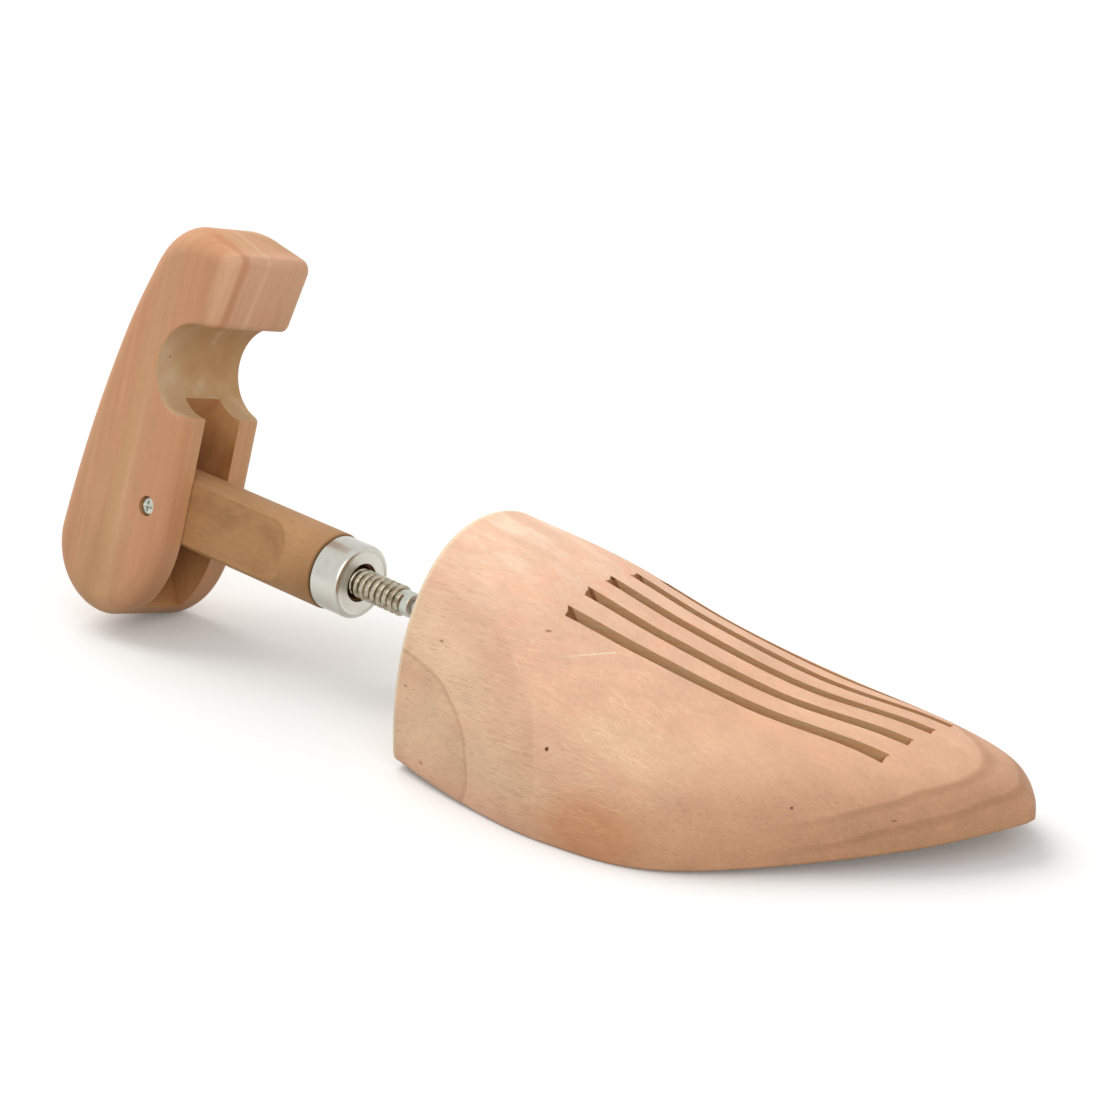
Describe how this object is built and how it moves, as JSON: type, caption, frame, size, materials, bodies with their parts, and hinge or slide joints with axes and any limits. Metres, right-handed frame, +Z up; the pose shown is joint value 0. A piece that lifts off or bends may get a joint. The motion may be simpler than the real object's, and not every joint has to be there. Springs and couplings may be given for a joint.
{
  "type": "shoe tree",
  "caption": "Wooden shoe tree with a vented forepart on a coil spring, a dowel shank with a metal ferrule and a pivoting hooked heel block.",
  "frame": {"origin": "middle of the whole tree's plan box, on the surface that it stands on", "axes": "+X from the heel block to the toe along the shank, +Y to the side that the heel block leans to, +Z up"},
  "size_m": [0.2796, 0.0924, 0.1058],
  "materials": {
    "heel_wood": "sanded, unvarnished",
    "shank_wood": "sanded, unvarnished",
    "forepart_wood": "sanded, unvarnished",
    "ferrule_aluminium": "polished",
    "spring_steel": "bright drawn wire",
    "zinc": "zinc plated"
  },
  "bodies": {
    "shank": {"shank": "shank_wood", "ferrule": "ferrule_aluminium", "spring_plug": "zinc"},
    "heel": {"heel_block": "heel_wood", "pivot_screw": "zinc"},
    "spring": {"coil_spring": "spring_steel"},
    "stud": {"spring_stud": "zinc"},
    "forepart": {"forepart": "forepart_wood"}
  },
  "joints": [
    {"name": "heel_pivot", "type": "hinge", "parent": "shank", "child": "heel", "pos_m": [-0.10731, -0.00364, 0.03289], "axis": [-0.023, 0.9673, -0.2527], "range_deg": [-60, 55]},
    {"name": "spring_compression", "type": "slide", "parent": "shank", "child": "spring", "axis": [0.9959, 0, -0.0906], "range_m": [-0.007, 0], "stiffness_N_per_m": 7400, "deforming": ["coil_spring"]},
    {"name": "spring_bend", "type": "hinge", "parent": "spring", "child": "stud", "pos_m": [-0.0359, -0.00364, 0.02639], "axis": [-0.023, 0.9673, -0.2527], "range_deg": [-30, 30], "stiffness_Nm_per_rad": 0.3, "deforming": ["coil_spring"]},
    {"name": "forepart_twist", "type": "hinge", "parent": "stud", "child": "forepart", "pos_m": [-0.00047, -0.00364, 0.02317], "axis": [0.9959, 0, -0.0906], "range_deg": [-30, 30]}
  ]
}
